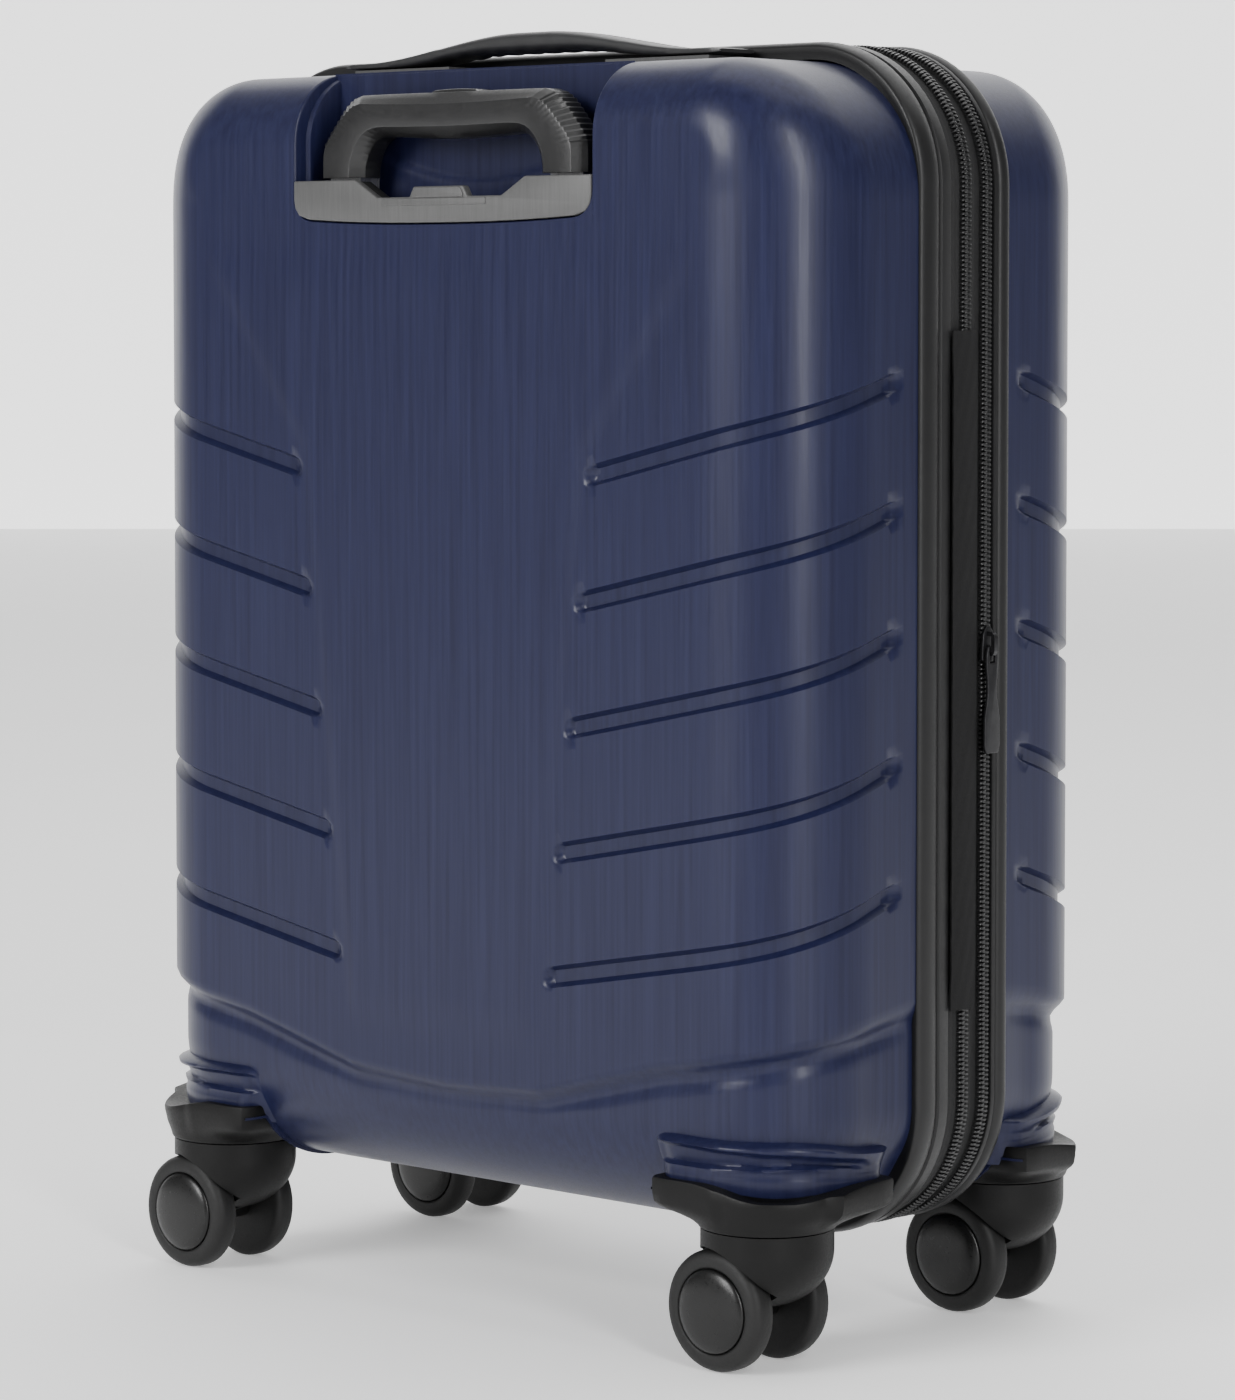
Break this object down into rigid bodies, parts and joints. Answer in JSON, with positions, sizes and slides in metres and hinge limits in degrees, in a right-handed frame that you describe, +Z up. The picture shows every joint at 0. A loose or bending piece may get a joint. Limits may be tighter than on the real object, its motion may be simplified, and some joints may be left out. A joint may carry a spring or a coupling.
{
  "type": "hard shell suitcase",
  "caption": "Rigid two-half cabin suitcase with a zipped rim, expansion zip, telescopic trolley handle, carry handles, side lock and swivelling double wheels.",
  "frame": {"origin": "on the floor, under the middle of the case", "axes": "+Z up, +X across the width towards the lock side, +Y towards the back, where the trolley handle is"},
  "size_m": [0.4105, 0.217, 0.552],
  "materials": {
    "shell": "satin with a fine brushed film",
    "trim": "satin",
    "lining": "woven",
    "webbing": "woven webbing",
    "zip_cloth": "woven",
    "black_plastic": "satin",
    "grey_plastic": "satin",
    "handle": "satin",
    "tube": "anodised",
    "bezel": "brushed satin",
    "grip": "satin",
    "steel": "plated",
    "zip_metal": "black gloss",
    "caster": "satin",
    "wheel": "matt rubber on a plastic core"
  },
  "bodies": {
    "back_half": {"back_shell": "shell", "back_trim": "trim", "back_lining": "lining", "main_zip_back": "zip_cloth", "cloth_hinge": "zip_cloth", "packing_straps": "webbing", "strap_buckle": "black_plastic", "handle_brackets": "grey_plastic", "trolley_outer_tubes": "tube", "trolley_foot": "black_plastic", "trolley_bezel": "bezel", "lock_body": "black_plastic", "caster_housing_back_left": "black_plastic", "caster_housing_back_right": "black_plastic", "caster_screws_back": "steel"},
    "zip_band": {"main_zip_front": "zip_cloth", "zip_tape_band": "zip_cloth", "expansion_zip_back": "zip_cloth", "expansion_gusset": "zip_cloth"},
    "front_half": {"expansion_zip_front": "zip_cloth", "front_trim": "trim", "front_shell": "shell", "front_lining": "lining", "divider_panel": "lining", "caster_housing_front_left": "black_plastic", "caster_housing_front_right": "black_plastic", "caster_screws_front": "steel"},
    "trolley_middle": {"trolley_middle_tubes": "tube"},
    "trolley_upper": {"trolley_inner_tubes": "tube", "trolley_grip": "grip"},
    "trolley_release": {"release_button": "grip", "release_rods": "steel"},
    "top_handle": {"top_handle": "handle"},
    "side_handle": {"side_handle": "handle"},
    "lock_button": {"lock_button": "black_plastic"},
    "lock_dial_1": {"lock_dial_1": "grey_plastic"},
    "lock_dial_2": {"lock_dial_2": "grey_plastic"},
    "lock_dial_3": {"lock_dial_3": "grey_plastic"},
    "expansion_slider": {"expansion_slider": "zip_metal"},
    "expansion_pull": {"expansion_pull": "zip_metal"},
    "upper_zip_slider": {"upper_zip_slider": "zip_metal"},
    "upper_zip_pull": {"upper_zip_pull": "zip_metal"},
    "lower_zip_slider": {"lower_zip_slider": "zip_metal"},
    "lower_zip_pull": {"lower_zip_pull": "zip_metal"},
    "caster_back_left": {"caster_back_left_fork": "caster", "caster_back_left_axle": "steel"},
    "caster_back_left_wheel_outer": {"caster_back_left_wheel_outer": "wheel"},
    "caster_back_left_wheel_inner": {"caster_back_left_wheel_inner": "wheel"},
    "caster_back_right": {"caster_back_right_fork": "caster", "caster_back_right_axle": "steel"},
    "caster_back_right_wheel_outer": {"caster_back_right_wheel_outer": "wheel"},
    "caster_back_right_wheel_inner": {"caster_back_right_wheel_inner": "wheel"},
    "caster_front_left": {"caster_front_left_fork": "caster", "caster_front_left_axle": "steel"},
    "caster_front_left_wheel_outer": {"caster_front_left_wheel_outer": "wheel"},
    "caster_front_left_wheel_inner": {"caster_front_left_wheel_inner": "wheel"},
    "caster_front_right": {"caster_front_right_fork": "caster", "caster_front_right_axle": "steel"},
    "caster_front_right_wheel_outer": {"caster_front_right_wheel_outer": "wheel"},
    "caster_front_right_wheel_inner": {"caster_front_right_wheel_inner": "wheel"}
  },
  "joints": [
    {"name": "front_opening", "type": "hinge", "parent": "back_half", "child": "zip_band", "pos_m": [-0.204, -0.002, 0], "axis": [0, 0, -1], "range_deg": [0, 175]},
    {"name": "expansion", "type": "slide", "parent": "zip_band", "child": "front_half", "axis": [0, -1, 0], "range_m": [0, 0.04], "deforming": ["expansion_gusset"]},
    {"name": "trolley_first_stage", "type": "slide", "parent": "back_half", "child": "trolley_middle", "axis": [0, 0, 1], "range_m": [0, 0.26]},
    {"name": "trolley_second_stage", "type": "slide", "parent": "trolley_middle", "child": "trolley_upper", "axis": [0, 0, 1], "range_m": [0, 0.26]},
    {"name": "release_press", "type": "slide", "parent": "trolley_upper", "child": "trolley_release", "axis": [0, 0, -1], "range_m": [0, 0.003], "stiffness_N_per_m": 900, "springref_m": -0.004},
    {"name": "top_handle_lift", "type": "slide", "parent": "back_half", "child": "top_handle", "axis": [0, 0, 1], "range_m": [0, 0.012]},
    {"name": "side_handle_lift", "type": "slide", "parent": "back_half", "child": "side_handle", "axis": [1, 0, 0], "range_m": [0, 0.012]},
    {"name": "expansion_slider_travel", "type": "slide", "parent": "zip_band", "child": "expansion_slider", "axis": [0, 0, 1], "range_m": [-0.18, 0.18]},
    {"name": "expansion_pull_swing", "type": "hinge", "parent": "expansion_slider", "child": "expansion_pull", "pos_m": [-0.1998, -0.0157, 0.2925], "axis": [0, -1, 0], "range_deg": [-145, 0]},
    {"name": "upper_zip_travel", "type": "slide", "parent": "back_half", "child": "upper_zip_slider", "axis": [0, 0, 1], "range_m": [0, 0.11]},
    {"name": "upper_pull_swing", "type": "hinge", "parent": "upper_zip_slider", "child": "upper_zip_pull", "pos_m": [0.1998, -0.002, 0.358], "axis": [0, -1, 0], "range_deg": [0, 145]},
    {"name": "lower_zip_travel", "type": "slide", "parent": "back_half", "child": "lower_zip_slider", "axis": [0, 0, 1], "range_m": [-0.11, 0]},
    {"name": "lower_pull_swing", "type": "hinge", "parent": "lower_zip_slider", "child": "lower_zip_pull", "pos_m": [0.1998, -0.002, 0.216], "axis": [0, -1, 0], "range_deg": [0, 145]},
    {"name": "dial_1_turn", "type": "hinge", "parent": "back_half", "child": "lock_dial_1", "pos_m": [0.199, 0.018, 0.273], "axis": [0, 0, 1], "continuous": true},
    {"name": "dial_2_turn", "type": "hinge", "parent": "back_half", "child": "lock_dial_2", "pos_m": [0.199, 0.018, 0.283], "axis": [0, 0, 1], "continuous": true},
    {"name": "dial_3_turn", "type": "hinge", "parent": "back_half", "child": "lock_dial_3", "pos_m": [0.199, 0.018, 0.293], "axis": [0, 0, 1], "continuous": true},
    {"name": "lock_button_press", "type": "slide", "parent": "back_half", "child": "lock_button", "axis": [-1, 0, 0], "range_m": [0, 0.0015], "stiffness_N_per_m": 600, "springref_m": -0.002},
    {"name": "back_left_swivel", "type": "hinge", "parent": "back_half", "child": "caster_back_left", "pos_m": [-0.158, 0.078, 0.06], "axis": [0, 0, 1], "continuous": true},
    {"name": "back_left_wheel_outer_spin", "type": "hinge", "parent": "caster_back_left", "child": "caster_back_left_wheel_outer", "pos_m": [-0.148, 0.096, 0.0253], "axis": [0, 1, 0], "continuous": true},
    {"name": "back_left_wheel_inner_spin", "type": "hinge", "parent": "caster_back_left", "child": "caster_back_left_wheel_inner", "pos_m": [-0.148, 0.06, 0.0253], "axis": [0, 1, 0], "continuous": true},
    {"name": "back_right_swivel", "type": "hinge", "parent": "back_half", "child": "caster_back_right", "pos_m": [0.158, 0.078, 0.06], "axis": [0, 0, 1], "continuous": true},
    {"name": "back_right_wheel_outer_spin", "type": "hinge", "parent": "caster_back_right", "child": "caster_back_right_wheel_outer", "pos_m": [0.168, 0.096, 0.0253], "axis": [0, 1, 0], "continuous": true},
    {"name": "back_right_wheel_inner_spin", "type": "hinge", "parent": "caster_back_right", "child": "caster_back_right_wheel_inner", "pos_m": [0.168, 0.06, 0.0253], "axis": [0, 1, 0], "continuous": true},
    {"name": "front_left_swivel", "type": "hinge", "parent": "front_half", "child": "caster_front_left", "pos_m": [-0.158, -0.078, 0.06], "axis": [0, 0, 1], "continuous": true},
    {"name": "front_left_wheel_outer_spin", "type": "hinge", "parent": "caster_front_left", "child": "caster_front_left_wheel_outer", "pos_m": [-0.148, -0.06, 0.0253], "axis": [0, 1, 0], "continuous": true},
    {"name": "front_left_wheel_inner_spin", "type": "hinge", "parent": "caster_front_left", "child": "caster_front_left_wheel_inner", "pos_m": [-0.148, -0.096, 0.0253], "axis": [0, 1, 0], "continuous": true},
    {"name": "front_right_swivel", "type": "hinge", "parent": "front_half", "child": "caster_front_right", "pos_m": [0.158, -0.078, 0.06], "axis": [0, 0, 1], "continuous": true},
    {"name": "front_right_wheel_outer_spin", "type": "hinge", "parent": "caster_front_right", "child": "caster_front_right_wheel_outer", "pos_m": [0.168, -0.06, 0.0253], "axis": [0, 1, 0], "continuous": true},
    {"name": "front_right_wheel_inner_spin", "type": "hinge", "parent": "caster_front_right", "child": "caster_front_right_wheel_inner", "pos_m": [0.168, -0.096, 0.0253], "axis": [0, 1, 0], "continuous": true}
  ]
}
